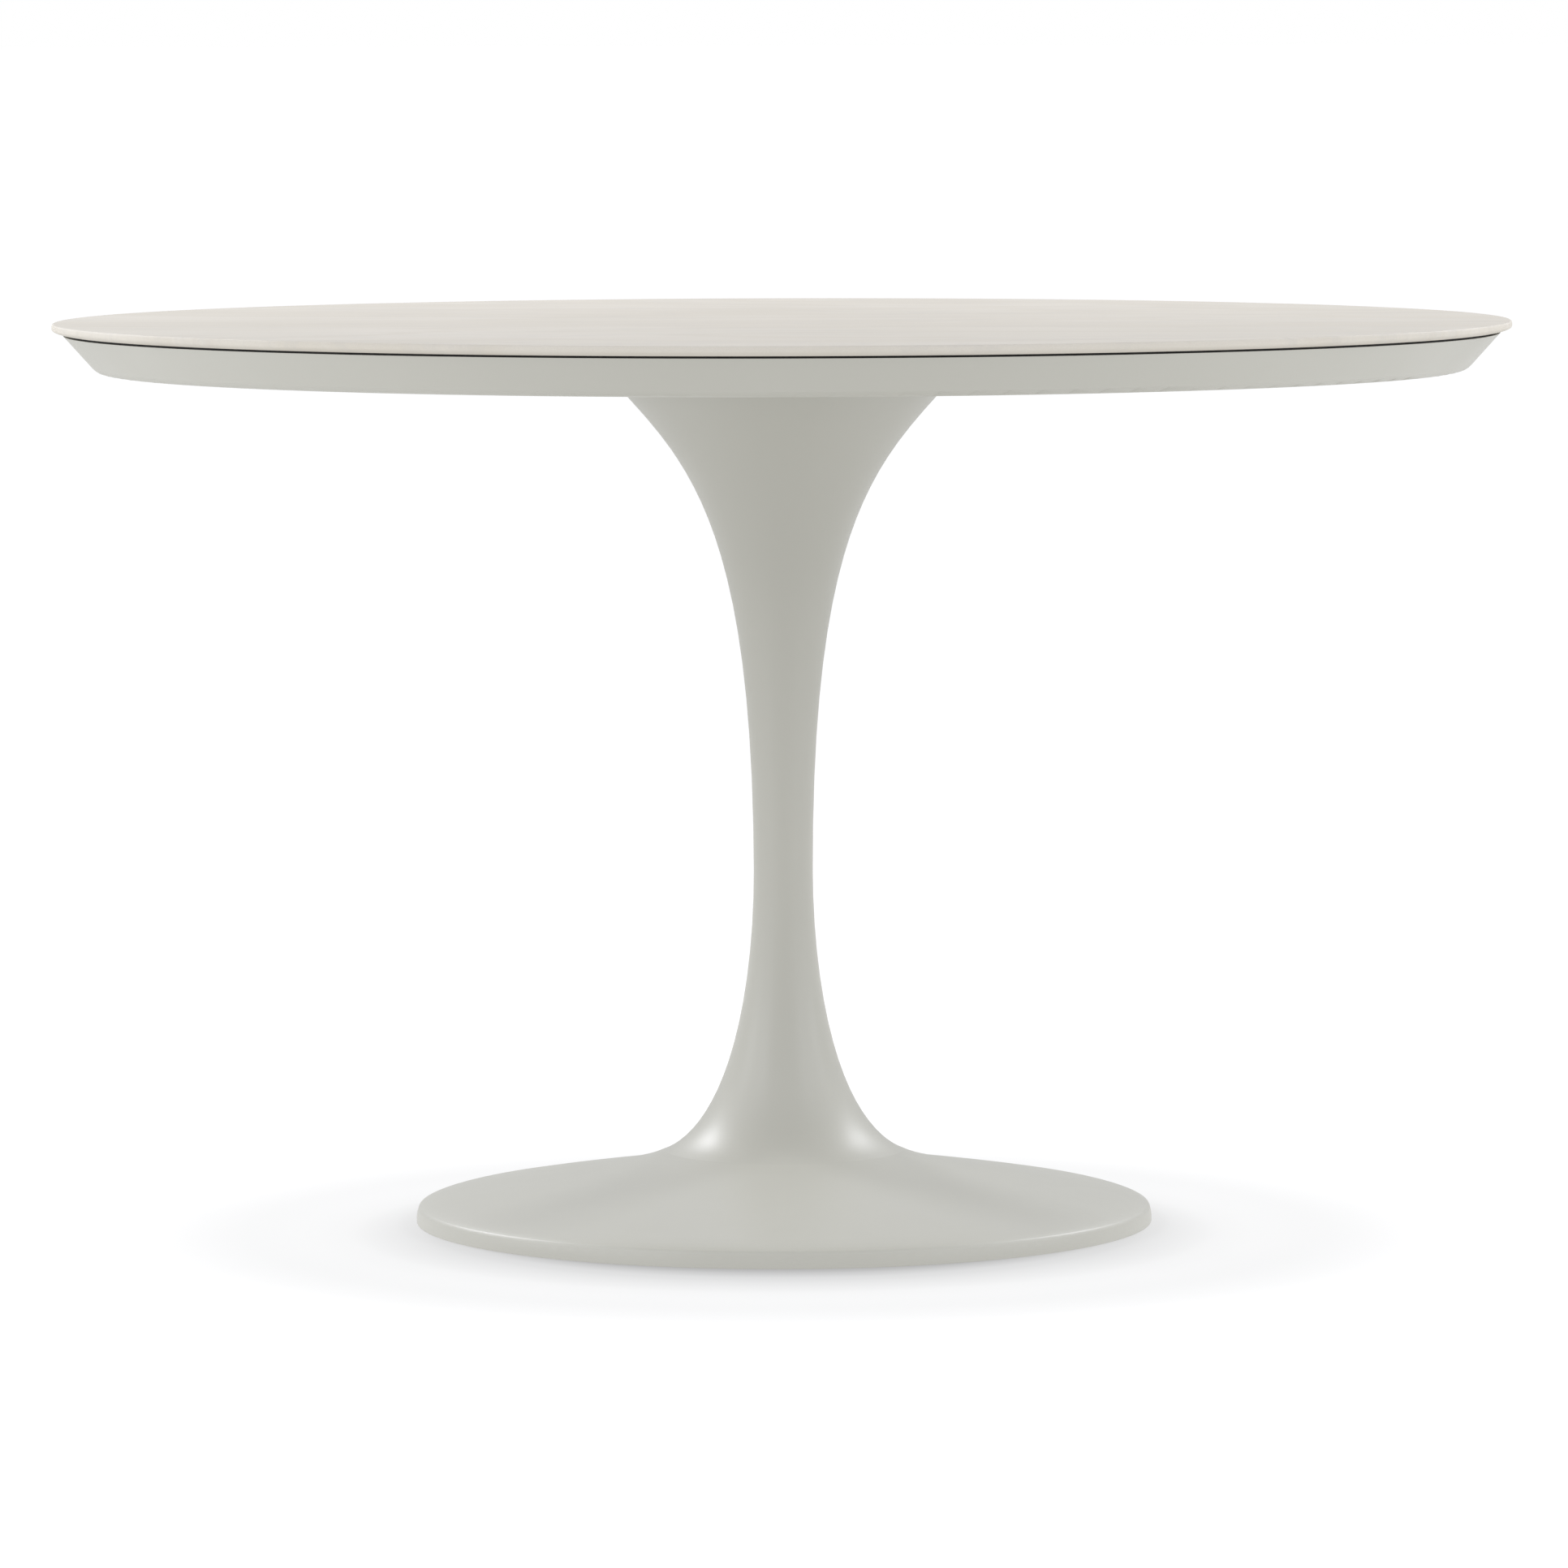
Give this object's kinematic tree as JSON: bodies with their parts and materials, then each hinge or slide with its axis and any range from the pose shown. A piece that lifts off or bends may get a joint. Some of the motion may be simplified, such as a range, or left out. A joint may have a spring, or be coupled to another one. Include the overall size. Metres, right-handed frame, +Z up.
{
  "type": "round pedestal table",
  "caption": "Round dining table: a thin stone slab on a bevelled carrier board, standing on a one-piece flared pedestal with a wide round base and levelling glides.",
  "frame": {"origin": "on the floor, on the pedestal's axis", "axes": "+Z up along the pedestal's axis; X and Y run horizontally and the glides lie on their diagonals"},
  "size_m": [1.2, 1.2, 0.747],
  "materials": {
    "stone": "satin",
    "black_rubber": "matte",
    "silicone": "satin",
    "carrier_lacquer": "satin",
    "pedestal_lacquer": "satin",
    "plate_steel": "matte",
    "zinc_steel": "satin",
    "raw_iron": "matte",
    "brass_bush": "satin",
    "cover_plastic": "matte",
    "foot_plastic": "satin",
    "felt": "matte"
  },
  "bodies": {
    "table": {"table_top": "stone", "shadow_gap_spacer": "black_rubber", "slab_pads": "silicone", "top_carrier": "carrier_lacquer", "carrier_inserts": "zinc_steel", "mounting_plate": "plate_steel", "flange_bolts": "zinc_steel", "top_screws": "zinc_steel", "top_screw_washers": "zinc_steel", "pedestal": "pedestal_lacquer", "ballast_ring": "raw_iron", "ballast_bolts": "zinc_steel", "ballast_washers": "zinc_steel", "base_cover": "cover_plastic", "cover_screws": "zinc_steel", "glide_bushes": "brass_bush"},
    "glide_foot_1": {"glide_foot_1": "foot_plastic", "glide_sole_1": "felt"},
    "glide_screw_1": {"glide_screw_1": "zinc_steel"},
    "glide_foot_2": {"glide_foot_2": "foot_plastic", "glide_sole_2": "felt"},
    "glide_screw_2": {"glide_screw_2": "zinc_steel"},
    "glide_foot_3": {"glide_foot_3": "foot_plastic", "glide_sole_3": "felt"},
    "glide_screw_3": {"glide_screw_3": "zinc_steel"},
    "glide_foot_4": {"glide_foot_4": "foot_plastic", "glide_sole_4": "felt"},
    "glide_screw_4": {"glide_screw_4": "zinc_steel"}
  },
  "joints": [
    {"name": "glide_lift_1", "type": "slide", "parent": "table", "child": "glide_foot_1", "axis": [0, 0, -1], "range_m": [0, 0.006]},
    {"name": "glide_turn_1", "type": "hinge", "parent": "glide_foot_1", "child": "glide_screw_1", "pos_m": [0.16617, 0.16617, 0], "axis": [0, 0, -1], "range_deg": [0, 1730]},
    {"name": "glide_lift_2", "type": "slide", "parent": "table", "child": "glide_foot_2", "axis": [0, 0, -1], "range_m": [0, 0.006]},
    {"name": "glide_turn_2", "type": "hinge", "parent": "glide_foot_2", "child": "glide_screw_2", "pos_m": [-0.16617, 0.16617, 0], "axis": [0, 0, -1], "range_deg": [0, 1730]},
    {"name": "glide_lift_3", "type": "slide", "parent": "table", "child": "glide_foot_3", "axis": [0, 0, -1], "range_m": [0, 0.006]},
    {"name": "glide_turn_3", "type": "hinge", "parent": "glide_foot_3", "child": "glide_screw_3", "pos_m": [-0.16617, -0.16617, 0], "axis": [0, 0, -1], "range_deg": [0, 1730]},
    {"name": "glide_lift_4", "type": "slide", "parent": "table", "child": "glide_foot_4", "axis": [0, 0, -1], "range_m": [0, 0.006]},
    {"name": "glide_turn_4", "type": "hinge", "parent": "glide_foot_4", "child": "glide_screw_4", "pos_m": [0.16617, -0.16617, 0], "axis": [0, 0, -1], "range_deg": [0, 1730]}
  ],
  "couplings": [
    {"joint": "glide_turn_1", "follows": "glide_lift_1", "rad_per_m": 5026.5},
    {"joint": "glide_turn_2", "follows": "glide_lift_2", "rad_per_m": 5026.5},
    {"joint": "glide_turn_3", "follows": "glide_lift_3", "rad_per_m": 5026.5},
    {"joint": "glide_turn_4", "follows": "glide_lift_4", "rad_per_m": 5026.5}
  ]
}
